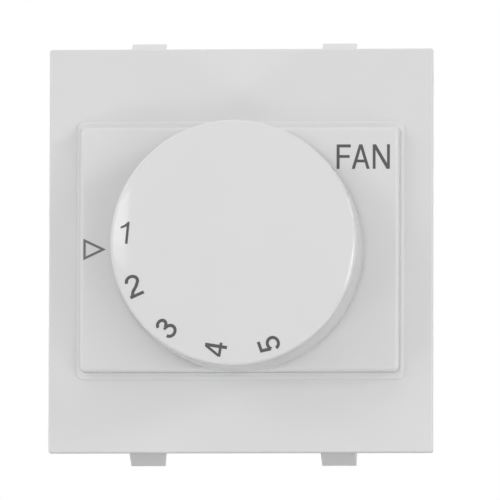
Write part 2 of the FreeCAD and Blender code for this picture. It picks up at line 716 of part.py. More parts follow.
def circuit_board():
    """The board with a hole for each pin and lead."""
    board = block(board_width, board_height, board_front, board_back)
    pin_radius = CONTACT_PIN_RADIUS + PIN_CLEARANCE
    holes = [rod(pin_radius, board_front, board_back, x, z) for x, z in contact_places()]
    lead_radius = CAPACITOR_LEAD_RADIUS + PIN_CLEARANCE
    for z in capacitor_lines():
        for x in (-capacitor_lead_pitch / 2, capacitor_lead_pitch / 2):
            holes.append(rod(lead_radius, board_front, board_back, x, z))
    lead_radius = RESISTOR_LEAD_RADIUS + PIN_CLEARANCE
    for x, z in resistor_places():
        for half in (-resistor_lead_pitch / 2, resistor_lead_pitch / 2):
            holes.append(rod(lead_radius, board_front, board_back, x, z + half))
    leg_radius = TERMINAL_LEG_RADIUS + PIN_CLEARANCE
    for x in terminal_places():
        for half in (-TERMINAL_LEG_PITCH / 2, TERMINAL_LEG_PITCH / 2):
            holes.append(rod(leg_radius, board_front, board_back, x, terminal_line + half))
    return board.cut(holes)


def capacitor(z):
    """A moulded box capacitor with two wire leads through the board."""
    case = block(capacitor_width, capacitor_height, capacitor_front, capacitor_back, z=z)
    case = case.makeFillet(CAPACITOR_EDGE_RADIUS, case.Edges)
    half = capacitor_lead_pitch / 2
    leads = [
        rod(CAPACITOR_LEAD_RADIUS, lead_tip, capacitor_front + CAPACITOR_EDGE_RADIUS, x, z)
        for x in (-half, half)
    ]
    return case.fuse(leads)


def resistor_lead(x, z, end):
    """A wire from one end of a resistor, bent through a quarter turn into the board."""
    hole = z + end * resistor_lead_pitch / 2
    bend_start = Vector(x, resistor_line - RESISTOR_BEND, hole)
    bend_stop = Vector(x, resistor_line, hole - end * RESISTOR_BEND)
    reach = RESISTOR_BEND * (1 - math.sqrt(0.5))
    bend_middle = Vector(x, resistor_line - reach, hole - end * reach)
    tip = Vector(x, lead_tip, hole)
    root = Vector(x, resistor_line, z + end * (RESISTOR_LENGTH - RESISTOR_CAP_LENGTH) / 2)
    path = Part.Wire([
        Part.makeLine(tip, bend_start),
        Part.Arc(bend_start, bend_middle, bend_stop).toShape(),
        Part.makeLine(bend_stop, root),
    ])
    section = Part.Wire([Part.makeCircle(RESISTOR_LEAD_RADIUS, tip, Vector(0, 1, 0))])
    return path.makePipeShell([section], True, False)


def resistor(x, z):
    """A round resistor that stands upright behind the board, with its two wires."""
    up = Vector(0, 0, 1)
    foot = Vector(x, resistor_line, z - RESISTOR_LENGTH / 2)
    body = Part.makeCylinder(RESISTOR_RADIUS, RESISTOR_LENGTH, foot, up)
    cap_radius = RESISTOR_RADIUS + RESISTOR_CAP_PROUD
    head = Vector(x, resistor_line, z + RESISTOR_LENGTH / 2 - RESISTOR_CAP_LENGTH)
    caps = [Part.makeCylinder(cap_radius, RESISTOR_CAP_LENGTH, place, up) for place in (foot, head)]
    leads = [resistor_lead(x, z, end) for end in (-1, 1)]
    return body.fuse([*caps, *leads]).removeSplitter()


def terminal(x):
    """A brass block with a tunnel for the wire, a thread for its screw and two solder legs."""
    z = terminal_line
    body = block(TERMINAL_WIDTH, TERMINAL_HEIGHT, terminal_front, terminal_back, x, z)
    body = body.makeFillet(TERMINAL_EDGE_RADIUS, body.Edges)
    wire_start = Vector(x, wire_line, z - TERMINAL_HEIGHT / 2)
    tunnel = Part.makeCylinder(WIRE_BORE_RADIUS, TERMINAL_HEIGHT, wire_start, Vector(0, 0, 1))
    thread = rod(TERMINAL_SCREW_RADIUS + SEAT_CLEARANCE, wire_line, terminal_back, x, z)
    leg_back = terminal_front + TERMINAL_EDGE_RADIUS
    legs = [
        rod(TERMINAL_LEG_RADIUS, lead_tip, leg_back, x, z + half)
        for half in (-TERMINAL_LEG_PITCH / 2, TERMINAL_LEG_PITCH / 2)
    ]
    return body.fuse(legs).cut([tunnel, thread]).removeSplitter()


def terminal_screw(x):
    """A slotted screw, backed off so that the wire tunnel is clear."""
    z = terminal_line
    tip = wire_line + WIRE_BORE_RADIUS + TERMINAL_SCREW_TIP_GAP
    head_front = terminal_back + TERMINAL_SCREW_BACK_OFF
    head_back = head_front + TERMINAL_SCREW_HEAD
    shank = rod(TERMINAL_SCREW_RADIUS, tip, head_front, x, z)
    head = rod(TERMINAL_SCREW_HEAD_RADIUS, head_front, head_back, x, z)
    slot_front = head_back - TERMINAL_SCREW_HEAD * SLOT_DEPTH_SHARE
    slot = block(2 * TERMINAL_SCREW_HEAD_RADIUS, SLOT_WIDTH, slot_front, head_back, x, z)
    return shank.fuse(head).cut(slot)


def grips():
    """Upright ribs on both sides of the housing, behind the skirt."""
    ribs = []
    for side in (-1, 1):
        x = side * housing_width / 2
        for row in range(GRIP_COUNT):
            front = skirt_back + GRIP_START + GRIP_PITCH * row
            ribs.append(block(2 * GRIP_PROUD, GRIP_HEIGHT, front, front + GRIP_WIDTH, x))
    return ribs


def housing_pillars():
    """Square pillars in the corners, which the board rests against."""
    x = (inside_width - PILLAR_SIZE) / 2
    z = (inside_height - PILLAR_SIZE) / 2
    places = [(side * x, end * z) for side in (-1, 1) for end in (-1, 1)]
    return [block(PILLAR_SIZE, PILLAR_SIZE, board_back, housing_inside, x, z) for x, z in places]


def wire_entry(x):
    """A hole through the housing's floor, flared at its mouth."""
    floor = -housing_height / 2
    up = Vector(0, 0, 1)
    mouth = Vector(x, wire_line, floor)
    hole = Part.makeCylinder(wire_entry_radius, HOUSING_WALL, mouth, up)
    flare_radius = wire_entry_radius + WIRE_ENTRY_CHAMFER
    flare = Part.makeCone(flare_radius, wire_entry_radius, WIRE_ENTRY_CHAMFER, mouth, up)
    return hole.fuse(flare)


def housing():
    """The rear half of the case, open to the front."""
    shell = slab(housing_width, housing_height, flange_back, housing_back, HOUSING_CORNER_RADIUS)
    shell = rounded(shell, HOUSING_REAR_RADIUS, lambda edge: lies_at_y(edge, housing_back))
    collars = [
        rod(access_radius + COLLAR_WIDTH, housing_inside, housing_back + COLLAR_PROUD, x, terminal_line)
        for x in terminal_places()
    ]
    shell = shell.fuse([*collars, *grips()])
    shell = shell.cut(block(inside_width, inside_height, flange_back, housing_inside))
    barrier_line = (BARRIER_HEIGHT - inside_height) / 2
    barrier_front = board_back + BARRIER_BOARD_GAP
    barrier = block(BARRIER_WALL, BARRIER_HEIGHT, barrier_front, housing_inside, z=barrier_line)
    shell = shell.fuse([*housing_pillars(), barrier])
    access = [
        rod(access_radius, housing_inside, housing_back + COLLAR_PROUD, x, terminal_line)
        for x in terminal_places()
    ]
    entries = [wire_entry(x) for x in terminal_places()]
    window_front = plate_back + CATCH_START - CATCH_CLEARANCE
    window_back = plate_back + CATCH_START + CATCH_DEPTH + CATCH_CLEARANCE
    window_height = CATCH_WIDTH + 2 * CATCH_CLEARANCE
    windows = [
        block(2 * HOUSING_WALL, window_height, window_front, window_back, side * housing_width / 2, z)
        for side, z in catch_places()
    ]
    return shell.cut([*access, *entries, *windows]).removeSplitter()


parts = {
    "front_plate": front_plate(),
    "dial_panel": dial_panel(),
    "knob": knob(),
    "spindle": spindle(),
    "retaining_clip": retaining_clip(),
    "rotor": rotor(),
    "wiper_contact": wiper_contact(),
    "detent_spring": detent_spring(),
    "switch_body": switch_body(),
    "switch_cover": switch_cover(),
    "common_contact": common_contact(),
    "switch_screws": Part.makeCompound([switch_screw(x, z) for x, z in screw_places()]),
    "circuit_board": circuit_board(),
    "terminal_screws": Part.makeCompound([terminal_screw(x) for x in terminal_places()]),
    "housing": housing(),
}
for step in range(SPEED_COUNT):
    parts[f"speed_contact_{step + 1}"] = speed_contact(step)
for row, z in enumerate(capacitor_lines()):
    parts[f"capacitor_{row + 1}"] = capacitor(z)
for place, (x, z) in enumerate(resistor_places()):
    parts[f"resistor_{place + 1}"] = resistor(x, z)
for name, x in zip(["line_terminal", "load_terminal"], terminal_places()):
    parts[name] = terminal(x)

os.makedirs("parts", exist_ok=True)
for name, shape in parts.items():
    shape.exportStep(f"parts/{name}.step")
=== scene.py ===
import math

import bmesh
import bpy
from mathutils import Matrix, Quaternion, Vector
from mathutils.geometry import delaunay_2d_cdt


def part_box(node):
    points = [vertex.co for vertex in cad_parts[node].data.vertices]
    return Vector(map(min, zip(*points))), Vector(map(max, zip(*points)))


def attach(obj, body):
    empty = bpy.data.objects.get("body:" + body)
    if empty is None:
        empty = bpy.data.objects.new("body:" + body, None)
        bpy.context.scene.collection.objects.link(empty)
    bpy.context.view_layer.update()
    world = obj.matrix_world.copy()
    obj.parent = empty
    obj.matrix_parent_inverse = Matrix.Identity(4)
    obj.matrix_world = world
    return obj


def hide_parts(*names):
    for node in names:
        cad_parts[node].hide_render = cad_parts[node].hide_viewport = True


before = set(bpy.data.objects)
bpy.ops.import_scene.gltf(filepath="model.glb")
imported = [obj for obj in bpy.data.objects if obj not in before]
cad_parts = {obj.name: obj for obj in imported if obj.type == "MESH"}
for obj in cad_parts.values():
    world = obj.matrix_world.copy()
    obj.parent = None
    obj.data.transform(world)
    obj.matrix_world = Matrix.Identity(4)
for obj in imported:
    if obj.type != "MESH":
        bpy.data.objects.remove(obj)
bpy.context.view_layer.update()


# Front plate: the square white face, moulded in polycarbonate in one shot with its lip,
# skirt, lugs and catches. Its mould was stoned smooth, so it has a satin gloss and a
# very faint ripple.
PLATE_WHITE = (0.76, 0.76, 0.762)
PLATE_ROUGHNESS = 0.36
RIPPLE_SIZE = 0.0011
RIPPLE_DEPTH = 0.0000012
PATTERN_RANGE = (0.3, 0.7)
SHADE_BLOTCH = 0.009
SHADE_DRIFT = 0.012
GLOSS_BLOTCH = 0.003
GLOSS_DRIFT = 0.08
SOFT_DETAIL = 2.0
FINE_DETAIL = 4.0


def dressed(name, material):
    """Gives a piece of the frame its finish."""
    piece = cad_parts[name]
    if not piece.material_slots:
        piece.data.materials.append(material)
    for slot in piece.material_slots:
        slot.material = material


def new_finish(name):
    """A new material with its nodes, links and shader, and a texture place that goes with the piece."""
    material = bpy.data.materials.new(name)
    material.use_nodes = True
    nodes = material.node_tree.nodes
    links = material.node_tree.links
    place = nodes.new("ShaderNodeTexCoord").outputs["Object"]
    return material, nodes, links, nodes["Principled BSDF"], place


def cloud(nodes, links, place, size, detail=SOFT_DETAIL):
    """A soft random pattern whose blotches are about one size, in metres."""
    noise = nodes.new("ShaderNodeTexNoise")
    noise.inputs["Scale"].default_value = 1 / size
    noise.inputs["Detail"].default_value = detail
    links.new(place, noise.inputs["Vector"])
    return noise.outputs["Fac"]


def between(nodes, links, pattern, low, high):
    """A number that drifts between two values with a pattern."""
    spread = nodes.new("ShaderNodeMapRange")
    spread.inputs["From Min"].default_value, spread.inputs["From Max"].default_value = PATTERN_RANGE
    spread.inputs["To Min"].default_value = low
    spread.inputs["To Max"].default_value = high
    links.new(pattern, spread.inputs["Value"])
    return spread.outputs["Result"]


def tinted(nodes, links, pattern, first, second):
    """A colour that goes from one to another with a pattern."""
    mix = nodes.new("ShaderNodeMix")
    mix.data_type = "RGBA"
    mix.inputs["A"].default_value = (*first, 1)
    mix.inputs["B"].default_value = (*second, 1)
    links.new(pattern, mix.inputs["Factor"])
    return mix.outputs["Result"]


def shaded(colour, share):
    """A colour made lighter or darker by a share."""
    return tuple(part * share for part in colour)


def roughened(nodes, links, shader, pattern, depth):
    """A relief on the surface, as deep as given, in metres."""
    bump = nodes.new("ShaderNodeBump")
    bump.inputs["Strength"].default_value = 1
    bump.inputs["Distance"].default_value = depth
    links.new(pattern, bump.inputs["Height"])
    links.new(bump.outputs["Normal"], shader.inputs["Normal"])


def moulded_plastic(name, colour, roughness, grain_size, grain_depth):
    """Moulded plastic: a slight drift of its shade, and the grain that its mould left."""
    material, nodes, links, shader, place = new_finish(name)
    drift = cloud(nodes, links, place, SHADE_BLOTCH)
    shade = tinted(nodes, links, drift, shaded(colour, 1 - SHADE_DRIFT), shaded(colour, 1 + SHADE_DRIFT))
    links.new(shade, shader.inputs["Base Color"])
    haze = cloud(nodes, links, place, GLOSS_BLOTCH)
    gloss = between(nodes, links, haze, roughness * (1 - GLOSS_DRIFT), roughness * (1 + GLOSS_DRIFT))
    links.new(gloss, shader.inputs["Roughness"])
    grain = cloud(nodes, links, place, grain_size, FINE_DETAIL)
    roughened(nodes, links, shader, grain, grain_depth)
    return material


def satin_white(name):
    """The white plastic that the plate and the panel are both moulded in."""
    return moulded_plastic(name, PLATE_WHITE, PLATE_ROUGHNESS, RIPPLE_SIZE, RIPPLE_DEPTH)


dressed("front_plate", satin_white("plate_plastic"))


# Dial panel: the raised rectangle, moulded in the same white polycarbonate and held behind
# the plate by its flange. The word FAN and the outline triangle that points at the knob are
# pad-printed on it.
PRINT_HEIGHT = 0.00287
PRINT_NARROWING = 0.94
PRINT_CENTRE = (0.01445, 0.01077)
LETTER_GAPS = (0.00012, 0.00035)
POINTER_TIP = -0.0156
POINTER_BACK = -0.01826
POINTER_HALF_HEIGHT = 0.00126
POINTER_LINE = 0.00028
INK_HALF_FILM = 0.00002
INK_GREY = (0.085, 0.085, 0.088)
POINTER_GREY = (0.17, 0.17, 0.173)
INK_ROUGHNESS = (0.42, 0.55)
INK_BLOTCH = 0.0004
INK_DRIFT = 0.15
NET_INSIDE = 1
SAME_POINT = 0.000001

# Outlines of the letters, in heights of a letter, from the lower left corner. The word is then
# made a little narrower.
LETTER_F = [(0, 0), (0.128, 0), (0.128, 0.452), (0.565, 0.452), (0.565, 0.566), (0.128, 0.566),
            (0.128, 0.876), (0.61, 0.876), (0.61, 1), (0, 1)]
LETTER_A = [(0, 0), (0.132, 0), (0.215, 0.265), (0.565, 0.265), (0.648, 0), (0.78, 0), (0.46, 1), (0.32, 1)]
LETTER_A_EYE = [(0.255, 0.38), (0.525, 0.38), (0.39, 0.82)]
LETTER_N = [(0, 0), (0.122, 0), (0.122, 0.77), (0.60, 0), (0.74, 0), (0.74, 1), (0.618, 1), (0.618, 0.23),
            (0.14, 1), (0, 1)]


def merged(outlines, eyes):
    """Outlines that may overlap, made into one flat net of faces, with their eyes left open."""
    points, faces = [], []
    for outline in [*outlines, *eyes]:
        faces.append(list(range(len(points), len(points) + len(outline))))
        points += [Vector(point) for point in outline]
    corners, _, triangles, _, _, sources = delaunay_2d_cdt(points, [], faces, NET_INSIDE, SAME_POINT, True)
    kept = [triangle for triangle, source in zip(triangles, sources)
            if source and max(source) < len(outlines)]
    return corners, kept


def ink_film(name, corners, triangles, on_surface, material, body):
    """A closed film of ink. Each corner lies at a place on the printed surface."""
    top = [on_surface(corner, INK_HALF_FILM) for corner in corners]
    bottom = [on_surface(corner, -INK_HALF_FILM) for corner in corners]
    count = len(corners)
    faces = [tuple(triangle) for triangle in triangles]
    edges = {(face[k], face[k - 2]) for face in faces for k in range(3)}
    rim = [(a, b) for a, b in edges if (b, a) not in edges]
    faces += [tuple(corner + count for corner in reversed(face)) for face in faces]
    faces += [(b, a, a + count, b + count) for a, b in rim]
    mesh = bpy.data.meshes.new(name)
    mesh.from_pydata([*top, *bottom], [], faces)
    mesh.update()
    film = bpy.data.objects.new(name, mesh)
    bpy.context.scene.collection.objects.link(film)
    film.data.materials.append(material)
    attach(film, body)


def printing_ink(name, colour):
    """Matt pad-printing ink, a little uneven where it was pressed on."""
    material, nodes, links, shader, place = new_finish(name)
    press = cloud(nodes, links, place, INK_BLOTCH)
    shade = tinted(nodes, links, press, shaded(colour, 1 - INK_DRIFT), shaded(colour, 1 + INK_DRIFT))
    links.new(shade, shader.inputs["Base Color"])
    links.new(between(nodes, links, press, *INK_ROUGHNESS), shader.inputs["Roughness"])
    return material


panel_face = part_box("dial_panel")[0].y


def on_panel(point, height):
    """A place on the panel's flat face, or a little in front of it."""
    return Vector((point.x, panel_face - height, point.y))


dressed("dial_panel", satin_white("panel_plastic"))

ink = printing_ink("ink", INK_GREY)
letters = {"F": [LETTER_F], "A": [LETTER_A, LETTER_A_EYE], "N": [LETTER_N]}
letter_unit = PRINT_HEIGHT * PRINT_NARROWING
letter_widths = [max(x for x, _ in rings[0]) * letter_unit for rings in letters.values()]
word_width = sum(letter_widths) + sum(LETTER_GAPS)
left = PRINT_CENTRE[0] - word_width / 2
low = PRINT_CENTRE[1] - PRINT_HEIGHT / 2
for (letter, rings), width, gap in zip(letters.items(), letter_widths, (*LETTER_GAPS, 0)):
    outline, *eyes = [[(left + x * letter_unit, low + z * PRINT_HEIGHT) for x, z in ring] for ring in rings]
    ink_film(f"print_letter_{letter}", *merged([outline], eyes), on_panel, ink, "module")
    left += width + gap

# The pointer's line is one width all round, so its eye is the outline moved in by that width
slope = math.atan2(POINTER_HALF_HEIGHT, POINTER_TIP - POINTER_BACK)
eye_back = POINTER_BACK + POINTER_LINE
eye_tip = POINTER_TIP - POINTER_LINE / math.sin(slope)
eye_half_height = (eye_tip - eye_back) * math.tan(slope)
pointer = [(POINTER_BACK, -POINTER_HALF_HEIGHT), (POINTER_TIP, 0), (POINTER_BACK, POINTER_HALF_HEIGHT)]
pointer_eye = [(eye_back, -eye_half_height), (eye_tip, 0), (eye_back, eye_half_height)]
pointer_ink = printing_ink("pointer_ink", POINTER_GREY)
ink_film("print_pointer", *merged([pointer], [pointer_eye]), on_panel, pointer_ink, "module")


# Switch body: the square cup behind the panel that the rotor turns in, moulded in black
# phenolic, which comes out of its mould with a dull skin. Four screws hold it to the panel.
SWITCH_BLACK = (0.035, 0.033, 0.03)
SWITCH_ROUGHNESS = 0.44
MOULD_GRAIN = 0.00035
MOULD_DEPTH = 0.000004

switch_plastic = moulded_plastic("switch_plastic", SWITCH_BLACK, SWITCH_ROUGHNESS, MOULD_GRAIN, MOULD_DEPTH)
dressed("switch_body", switch_plastic)


# Spindle: turned from free-cutting steel bar, with a flat milled at each end, one for the knob
# and one for the rotor. The tool left fine rings round it.
SHAFT_STEEL = (0.55, 0.56, 0.58)
SHAFT_ROUGHNESS = 0.28
TURNED_LINE = 0.0001
ROUND_THE_AXIS = (0.05, 1, 0.05)
LINE_DEPTH = 0.000001
TARNISH_BLOTCH = 0.004
TARNISH_RANGE = (0.9, 1.06)
TARNISH_DETAIL = 3.0
METAL_GLOSS_DRIFT = 0.2


def grained(nodes, links, place, size, stretch):
    """A pattern of fine lines: the blotches of a soft one, drawn out along one axis or two."""
    drawn = nodes.new("ShaderNodeMapping")
    drawn.inputs["Scale"].default_value = stretch
    links.new(place, drawn.inputs["Vector"])
    return cloud(nodes, links, drawn.outputs["Vector"], size)


def bare_metal(name, colour, roughness, line_size, stretch, line_depth=LINE_DEPTH):
    """Metal with the lines that its rolling, turning or drawing left in its surface."""
    material, nodes, links, shader, place = new_finish(name)
    shader.inputs["Metallic"].default_value = 1
    tarnish = cloud(nodes, links, place, TARNISH_BLOTCH, TARNISH_DETAIL)
    dull, bright = [shaded(colour, share) for share in TARNISH_RANGE]
    links.new(tinted(nodes, links, tarnish, dull, bright), shader.inputs["Base Color"])
    lines = grained(nodes, links, place, line_size, stretch)
    smoothest, roughest = roughness * (1 - METAL_GLOSS_DRIFT), roughness * (1 + METAL_GLOSS_DRIFT)
    links.new(between(nodes, links, lines, smoothest, roughest), shader.inputs["Roughness"])
    roughened(nodes, links, shader, lines, line_depth)
    return material


dressed("spindle", bare_metal("shaft_steel", SHAFT_STEEL, SHAFT_ROUGHNESS, TURNED_LINE, ROUND_THE_AXIS))


# Retaining clip and detent spring: both of blued spring steel, the clip stamped and snapped
# into the spindle's groove, the spring a bent leaf whose nose rests between two clicks.
SPRING_BLUE = (0.30, 0.32, 0.37)
SPRING_ROUGHNESS = 0.30
ROLLED_LINE = 0.00012
ACROSS_THE_SWITCH = (0.06, 1, 1)

spring_steel = bare_metal("spring_steel", SPRING_BLUE, SPRING_ROUGHNESS, ROLLED_LINE, ACROSS_THE_SWITCH)
dressed("retaining_clip", spring_steel)
dressed("detent_spring", spring_steel)


# Rotor: moulded in natural nylon, which is creamy and lets a little light in. The wiper of
# phosphor bronze strip is staked to its pegs and turns with it.
NYLON_CREAM = (0.78, 0.74, 0.64)
NYLON_ROUGHNESS = 0.4
NYLON_GLOW = 0.12
NYLON_DEPTH = 0.0008
BRONZE = (0.66, 0.40, 0.22)
BRONZE_ROUGHNESS = 0.26
UP_THE_SWITCH = (1, 1, 0.06)

nylon = moulded_plastic("rotor_nylon", NYLON_CREAM, NYLON_ROUGHNESS, MOULD_GRAIN, MOULD_DEPTH / 2)
nylon_shader = nylon.node_tree.nodes["Principled BSDF"]
nylon_shader.inputs["Subsurface Weight"].default_value = NYLON_GLOW
nylon_shader.inputs["Subsurface Scale"].default_value = NYLON_DEPTH
dressed("rotor", nylon)
dressed("wiper_contact", bare_metal("spring_bronze", BRONZE, BRONZE_ROUGHNESS, ROLLED_LINE, UP_THE_SWITCH))


# Contacts: five studs for the speeds and a curved strip, the common one, all of bright brass.
# They are riveted through the switch cover, and their pins are soldered to the circuit board.
CONTACT_BRASS = (0.72, 0.52, 0.24)
CONTACT_ROUGHNESS = 0.24
CONTACT_LINE = 0.00015
ALONG_THE_PIN = (1, 0.06, 1)
SPEEDS = 5

contact_brass = bare_metal("contact_brass", CONTACT_BRASS, CONTACT_ROUGHNESS, CONTACT_LINE, ALONG_THE_PIN)
for speed in range(1, SPEEDS + 1):
    dressed(f"speed_contact_{speed}", contact_brass)
dressed("common_contact", contact_brass)


# Switch cover: punched from brown paper-phenolic sheet, whose fibres show faintly. The four
# zinc-plated screws go through it and the switch body.
COVER_BROWN = (0.27, 0.13, 0.06)
COVER_ROUGHNESS = 0.5
FIBRE_SIZE = 0.00022
FIBRE_STRETCH = (0.16, 1, 1)
FIBRE_DEPTH = 0.000003
FIBRE_DARK = (0.6, 0.55, 0.5)
FIBRE_LIGHT = (1.3, 1.3, 1.3)
FIBRE_SHOW = 0.35
MOTTLE_BLOTCH = 0.0022
MOTTLE_DETAIL = 3.0
MOTTLE_DRIFT = 0.2
SHEET_GLOSS_DRIFT = 0.15
ZINC = (0.62, 0.63, 0.65)
ZINC_ROUGHNESS = 0.27
PLATED_GRAIN = 0.0002
EVEN = (1, 1, 1)


def paper_laminate(name, colour, roughness):
    """Sheet of pressed paper and resin, with short fibres lying along it and a little mottling."""
    material, nodes, links, shader, place = new_finish(name)
    fibres = grained(nodes, links, place, FIBRE_SIZE, FIBRE_STRETCH)
    mottle = cloud(nodes, links, place, MOTTLE_BLOTCH, MOTTLE_DETAIL)
    base = tinted(nodes, links, mottle, shaded(colour, 1 - MOTTLE_DRIFT), shaded(colour, 1 + MOTTLE_DRIFT))
    threads = nodes.new("ShaderNodeMix")
    threads.data_type = "RGBA"
    threads.blend_type = "MULTIPLY"
    threads.inputs["Factor"].default_value = FIBRE_SHOW
    links.new(base, threads.inputs["A"])
    links.new(tinted(nodes, links, fibres, FIBRE_DARK, FIBRE_LIGHT), threads.inputs["B"])
    links.new(threads.outputs["Result"], shader.inputs["Base Color"])
    smoothest, roughest = roughness * (1 - SHEET_GLOSS_DRIFT), roughness * (1 + SHEET_GLOSS_DRIFT)
    links.new(between(nodes, links, fibres, smoothest, roughest), shader.inputs["Roughness"])
    roughened(nodes, links, shader, fibres, FIBRE_DEPTH)
    return material


screw_zinc = bare_metal("screw_steel", ZINC, ZINC_ROUGHNESS, PLATED_GRAIN, EVEN)
dressed("switch_cover", paper_laminate("insulating_plate", COVER_BROWN, COVER_ROUGHNESS))
dressed("switch_screws", screw_zinc)


# Circuit board: tan paper-phenolic laminate, slipped over the contacts' pins. It carries the
# capacitors and resistors on its back.
BOARD_TAN = (0.36, 0.22, 0.09)
BOARD_ROUGHNESS = 0.42

dressed("circuit_board", paper_laminate("board_laminate", BOARD_TAN, BOARD_ROUGHNESS))


# Capacitors: metallised film wound flat in a box moulded in yellow plastic, with tinned wire
# leads that go through the board.
CASE_YELLOW = (0.75, 0.52, 0.05)
CASE_ROUGHNESS = 0.3
TINNED = (0.70, 0.70, 0.69)
AHEAD_OF_LEADS = 0
CASE_FOOT = 0.01549
CAPACITORS = 2


def stretch_of(material, axis, low, high):
    """One on the stretch of a piece between two places on an axis, else nothing."""
    nodes, links = material.node_tree.nodes, material.node_tree.links
    split = nodes.new("ShaderNodeSeparateXYZ")
    links.new(nodes["Texture Coordinate"].outputs["Object"], split.inputs["Vector"])
    above = nodes.new("ShaderNodeMath")
    above.operation = "GREATER_THAN"
    above.inputs[1].default_value = low
    links.new(split.outputs[axis], above.inputs[0])
    below = nodes.new("ShaderNodeMath")
    below.operation = "LESS_THAN"
    below.inputs[1].default_value = high
    links.new(split.outputs[axis], below.inputs[0])
    both = nodes.new("ShaderNodeMath")
    both.operation = "MULTIPLY"
    links.new(above.outputs["Value"], both.inputs[0])
    links.new(below.outputs["Value"], both.inputs[1])
    return both.outputs["Value"]


def paint_over(material, mask, colour):
    """Gives a finish another colour where the mask is one."""
    nodes, links = material.node_tree.nodes, material.node_tree.links
    base = nodes["Principled BSDF"].inputs["Base Color"]
    paint = nodes.new("ShaderNodeMix")
    paint.data_type = "RGBA"
    paint.inputs["B"].default_value = (*colour, 1)
    links.new(mask, paint.inputs["Factor"])
    links.new(base.links[0].from_socket, paint.inputs["A"])
    links.new(paint.outputs["Result"], base)


def tin_leads(material, mask):
    """Turns a finish into tinned wire where the mask is one."""
    paint_over(material, mask, TINNED)
    material.node_tree.links.new(mask, material.node_tree.nodes["Principled BSDF"].inputs["Metallic"])


capacitor_case = moulded_plastic("capacitor_case", CASE_YELLOW, CASE_ROUGHNESS, MOULD_GRAIN, MOULD_DEPTH / 2)
tin_leads(capacitor_case, stretch_of(capacitor_case, "Y", AHEAD_OF_LEADS, CASE_FOOT))
for which in range(1, CAPACITORS + 1):
    dressed(f"capacitor_{which}", capacitor_case)


# Resistors: film on a ceramic rod, dipped in pale green lacquer and ringed with colour bands.
# They stand upright behind the board, with their tinned wire leads bent over into it.
LACQUER_GREEN = (0.55, 0.62, 0.52)
LACQUER_ROUGHNESS = 0.32
RESISTOR_BODY = 0.0075
BAND_WIDTH = 0.0006
BAND_PLACES = (-0.0024, -0.0010, 0.0004, 0.0022)
BAND_COLOURS = ((0.02, 0.09, 0.30), (0.28, 0.05, 0.02), (0.03, 0.02, 0.02), (0.55, 0.36, 0.08))
RESISTORS = 4

for which in range(1, RESISTORS + 1):
    name = f"resistor_lacquer_{which}"
    lacquer = moulded_plastic(name, LACQUER_GREEN, LACQUER_ROUGHNESS, MOULD_GRAIN, MOULD_DEPTH / 4)
    low_corner, high_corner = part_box(f"resistor_{which}")
    middle = (low_corner.z + high_corner.z) / 2
    for place, colour in zip(BAND_PLACES, BAND_COLOURS):
        low, high = middle + place - BAND_WIDTH / 2, middle + place + BAND_WIDTH / 2
        paint_over(lacquer, stretch_of(lacquer, "Z", low, high), colour)
    on_body = stretch_of(lacquer, "Z", middle - RESISTOR_BODY / 2, middle + RESISTOR_BODY / 2)
    off_body = lacquer.node_tree.nodes.new("ShaderNodeMath")
    off_body.operation = "SUBTRACT"
    off_body.inputs[0].default_value = 1
    lacquer.node_tree.links.new(on_body, off_body.inputs[1])
    tin_leads(lacquer, off_body.outputs["Value"])
    dressed(f"resistor_{which}", lacquer)


# Terminals: two blocks sawn from drawn brass bar, drilled for the wire from below and tapped
# for its screw from behind.
TERMINAL_BRASS = (0.68, 0.50, 0.25)
TERMINAL_ROUGHNESS = 0.3
DRAWN_LINE = 0.00014
UP_THE_BAR = (1, 1, 0.05)
DRAWN_DEPTH = 0.000002

terminal_brass = bare_metal("terminal_brass", TERMINAL_BRASS, TERMINAL_ROUGHNESS, DRAWN_LINE, UP_THE_BAR,
                            DRAWN_DEPTH)
dressed("line_terminal", terminal_brass)
dressed("load_terminal", terminal_brass)


# Terminal screws: slotted cheese-head screws, rolled from steel wire and zinc-plated, each
# backed off by a turn or two so that its wire can be pushed in.
SCREW_RADIUS = 0.0015
SCREW_HEAD_DEPTH = 0.0022
SCREW_SLOT = 0.0008
SCREW_EDGE = 0.00025
SLOT_EDGE = 0.00008
THREAD_PITCH = 0.0005
THREAD_DEPTH = 0.00026
TIP_CHAMFER = 0.0004
RINGS_A_TURN = 8
SCREW_SIDES = 40
SCREW_TURNS = (14.0, -31.0)
SHARP_ANGLE = 35.0


def strip(rings):
    """Faces between rings of the same number of corners, and over the first and last ring."""
    count = len(rings[0])
    corners = [corner for ring in rings for corner in ring]
    faces = [(low + k, low + (k + 1) % count, low + count + (k + 1) % count, low + count + k)
             for low in range(0, count * (len(rings) - 1), count) for k in range(count)]
    faces.append(tuple(reversed(range(count))))
    faces.append(tuple(range(count * (len(rings) - 1), count * len(rings))))
    return corners, faces


def screw_ring(y, radius_at):
    """A ring of corners round the screw's axis, seen from behind."""
    ring = []
    for side in range(SCREW_SIDES):
        angle = 2 * math.pi * side / SCREW_SIDES
        radius = radius_at(angle)
        ring.append((radius * math.cos(angle), y, -radius * math.sin(angle)))
    return ring


def head_half(y, radius, half_slot, sign):
    """A ring of corners round the head's part on one side of the slot."""
    start = math.asin(half_slot / radius)
    steps = SCREW_SIDES // 2
    angles = [sign * (start + (math.pi - 2 * start) * step / steps) for step in range(steps + 1)]
    ring = [(radius * math.cos(angle), y, -radius * math.sin(angle)) for angle in angles]
    return ring if sign > 0 else ring[::-1]


def thread_ring(y, tip):
    """A ring of the thread, which winds once round for each pitch and runs out at the tip."""
    def radius_at(angle):
        turn = (y / THREAD_PITCH + angle / (2 * math.pi)) % 1
        crest = 1 - abs(2 * turn - 1)
        return min(SCREW_RADIUS - THREAD_DEPTH * (1 - crest), SCREW_RADIUS - TIP_CHAMFER + (y - tip))
    return screw_ring(y, radius_at)


